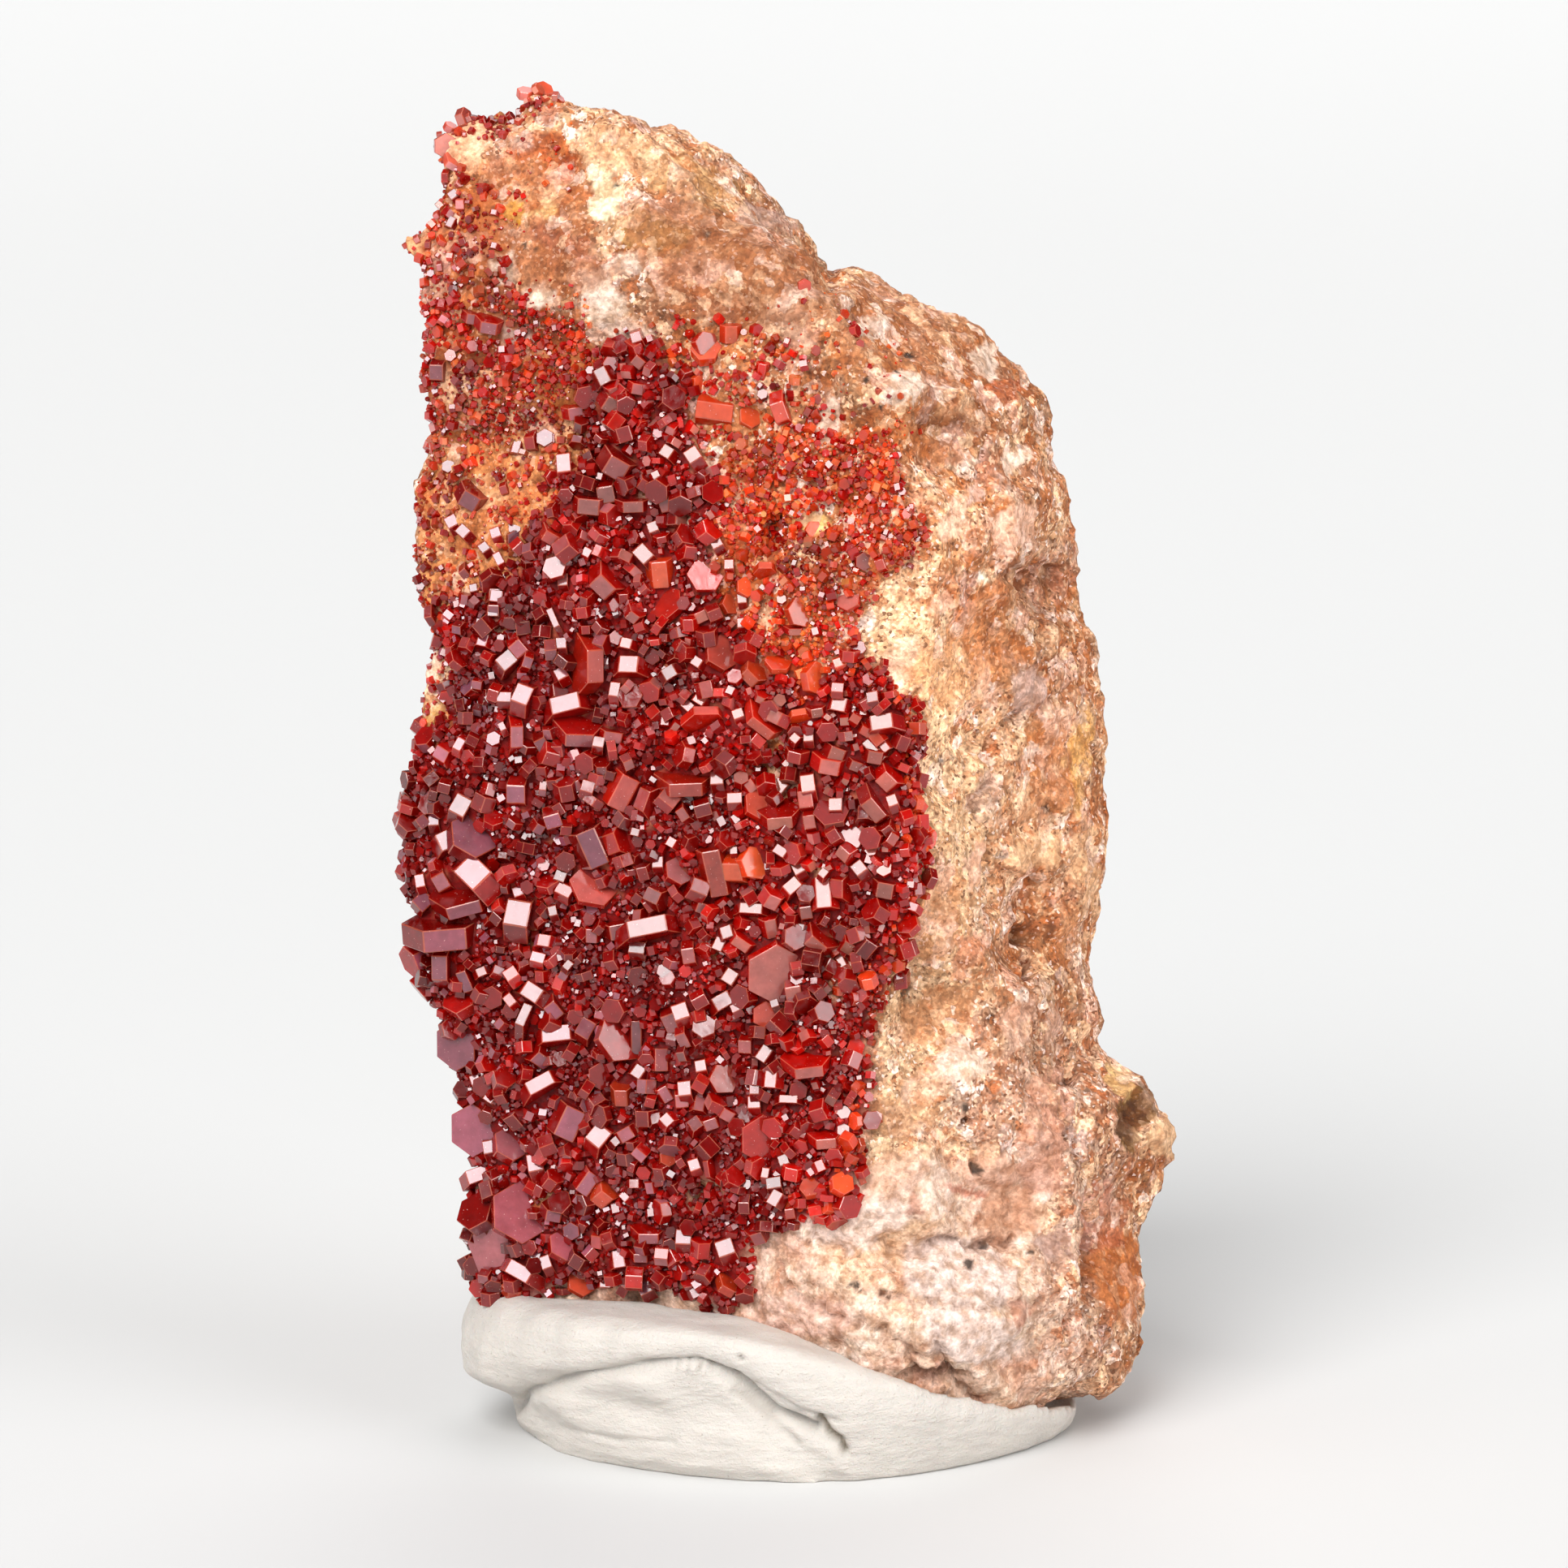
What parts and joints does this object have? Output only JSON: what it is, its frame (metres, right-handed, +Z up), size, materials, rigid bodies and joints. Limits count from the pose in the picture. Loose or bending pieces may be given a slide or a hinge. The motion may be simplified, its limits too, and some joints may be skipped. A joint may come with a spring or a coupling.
{
  "type": "mineral specimen",
  "caption": "Vanadinite specimen: a crust of red hexagonal crystals on the front of a broken block of barite rock, stood upright in a lump of putty.",
  "frame": {"origin": "on the surface the putty stands on, under the middle of the whole specimen", "axes": "+Z up along the specimen's height, crystal face towards -Y, broken side face towards +X"},
  "size_m": [0.0472, 0.0333, 0.0798],
  "materials": {
    "barite_rock": "matte",
    "vanadinite": "gloss",
    "putty": "satin"
  },
  "bodies": {
    "root": {"rock": "barite_rock", "crystal_crust": "vanadinite", "upper_crystal_band": "vanadinite", "crown_crystals": "vanadinite", "putty": "putty"}
  },
  "joints": []
}
